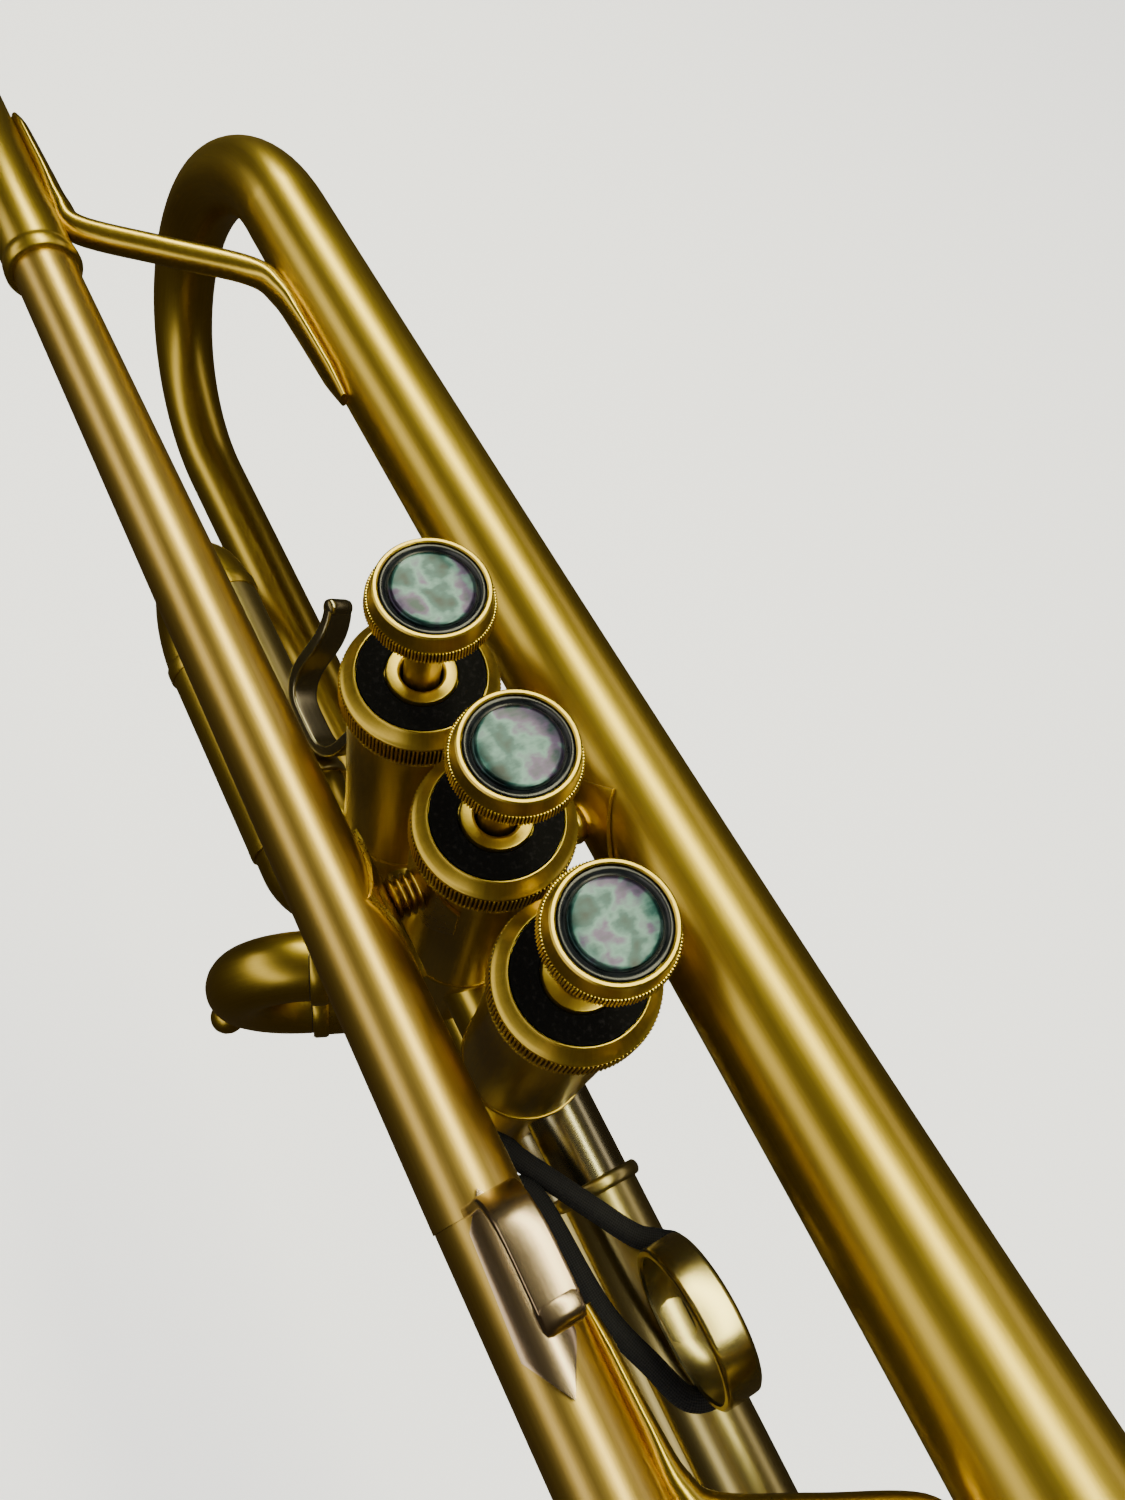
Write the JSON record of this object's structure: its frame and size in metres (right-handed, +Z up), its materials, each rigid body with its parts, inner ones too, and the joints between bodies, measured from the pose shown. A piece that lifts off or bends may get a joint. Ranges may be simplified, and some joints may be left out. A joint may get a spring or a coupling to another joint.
{
  "type": "trumpet with piston valves",
  "caption": "Brass wind instrument with a long bell, piston valves with felted caps and pearl buttons, tuning slides, a finger ring, a thumb saddle and a little finger hook.",
  "frame": {"origin": "centre of the middle valve casing", "axes": "+X towards the bell, +Y to the player's left, +Z up the valves towards the finger buttons"},
  "size_m": [0.4855, 0.139, 0.1506],
  "materials": {
    "satin_gold_lacquer": "satin brushed clear gold lacquer over yellow brass",
    "rose_brass_lacquer": "satin brushed lacquer over rose brass",
    "champagne_nickel": "pale champagne nickel silver, satin",
    "plain_nickel": "polished nickel silver",
    "monel_piston": "lapped monel",
    "dark_pearl": "polished dark abalone pearl, dark groove",
    "spring_steel": "bright spring steel wire",
    "white_guide": "moulded white nylon",
    "black_felt": "dense black wool felt",
    "black_elastic": "woven black elastic cord",
    "cork": "fine natural cork"
  },
  "bodies": {
    "instrument_body": {"leadpipe": "rose_brass_lacquer", "mouthpiece_receiver": "satin_gold_lacquer", "upper_tuning_sleeve": "satin_gold_lacquer", "lower_tuning_sleeve": "satin_gold_lacquer", "main_knuckle": "satin_gold_lacquer", "bell": "satin_gold_lacquer", "bell_bow": "satin_gold_lacquer", "rear_brace": "satin_gold_lacquer", "front_brace": "satin_gold_lacquer", "leadpipe_brace": "satin_gold_lacquer", "bell_brace": "satin_gold_lacquer", "hook_plate": "rose_brass_lacquer", "little_finger_hook": "rose_brass_lacquer", "rear_upright_stay": "satin_gold_lacquer", "front_upright_stay": "satin_gold_lacquer", "valve_casing_1": "satin_gold_lacquer", "valve_casing_2": "satin_gold_lacquer", "valve_casing_3": "satin_gold_lacquer", "top_caps": "satin_gold_lacquer", "top_felts": "black_felt", "bottom_caps": "satin_gold_lacquer", "valve_guides": "white_guide", "valve_crossovers": "satin_gold_lacquer", "first_slide_legs": "plain_nickel", "second_slide_sleeves": "satin_gold_lacquer", "third_slide_legs": "plain_nickel", "valve_spring_1": "spring_steel", "valve_spring_2": "spring_steel", "valve_spring_3": "spring_steel", "return_band": "black_elastic"},
    "valve_1": {"piston_1": "monel_piston", "valve_stem_1": "satin_gold_lacquer", "finger_button_1": "satin_gold_lacquer", "pearl_insert_1": "dark_pearl"},
    "valve_2": {"piston_2": "monel_piston", "valve_stem_2": "satin_gold_lacquer", "finger_button_2": "satin_gold_lacquer", "pearl_insert_2": "dark_pearl"},
    "valve_3": {"piston_3": "monel_piston", "valve_stem_3": "satin_gold_lacquer", "finger_button_3": "satin_gold_lacquer", "pearl_insert_3": "dark_pearl"},
    "main_tuning_slide": {"tuning_slide_legs": "plain_nickel", "tuning_crook": "satin_gold_lacquer", "crook_stay": "satin_gold_lacquer", "water_key_nipple": "satin_gold_lacquer", "water_key_bracket": "satin_gold_lacquer"},
    "water_key": {"water_key_lever": "satin_gold_lacquer", "water_key_cork": "cork"},
    "first_slide": {"first_upper_sleeve": "champagne_nickel", "first_lower_sleeve": "champagne_nickel", "first_crook": "champagne_nickel", "thumb_saddle": "champagne_nickel"},
    "second_slide": {"second_crook": "satin_gold_lacquer", "second_pull_knob": "satin_gold_lacquer"},
    "third_slide": {"third_upper_sleeve": "champagne_nickel", "third_lower_sleeve": "champagne_nickel", "third_crook": "champagne_nickel", "finger_ring": "champagne_nickel"}
  },
  "joints": [
    {"name": "valve_1_press", "type": "slide", "parent": "instrument_body", "child": "valve_1", "axis": [0, 0, -1], "range_m": [0, 0.0164], "stiffness_N_per_m": 60, "springref_m": -0.012, "deforming": ["valve_spring_1"]},
    {"name": "valve_2_press", "type": "slide", "parent": "instrument_body", "child": "valve_2", "axis": [0, 0, -1], "range_m": [0, 0.0164], "stiffness_N_per_m": 60, "springref_m": -0.012, "deforming": ["valve_spring_2"]},
    {"name": "valve_3_press", "type": "slide", "parent": "instrument_body", "child": "valve_3", "axis": [0, 0, -1], "range_m": [0, 0.0164], "stiffness_N_per_m": 60, "springref_m": -0.012, "deforming": ["valve_spring_3"]},
    {"name": "main_slide_pull", "type": "slide", "parent": "instrument_body", "child": "main_tuning_slide", "axis": [1, 0, 0], "range_m": [0, 0.045]},
    {"name": "water_key_press", "type": "hinge", "parent": "main_tuning_slide", "child": "water_key", "pos_m": [0.16, -0.0135, -0.047], "axis": [0, 1, 0], "range_deg": [0, 14], "stiffness_Nm_per_rad": 0.04, "springref_deg": -14.32},
    {"name": "first_slide_pull", "type": "slide", "parent": "instrument_body", "child": "first_slide", "axis": [-1, 0, 0], "range_m": [0, 0.02]},
    {"name": "second_slide_pull", "type": "slide", "parent": "instrument_body", "child": "second_slide", "axis": [-0.3746, -0.9272, 0], "range_m": [0, 0.012]},
    {"name": "third_slide_pull", "type": "slide", "parent": "instrument_body", "child": "third_slide", "axis": [1, 0, 0], "range_m": [0, 0.025], "deforming": ["return_band"]}
  ]
}
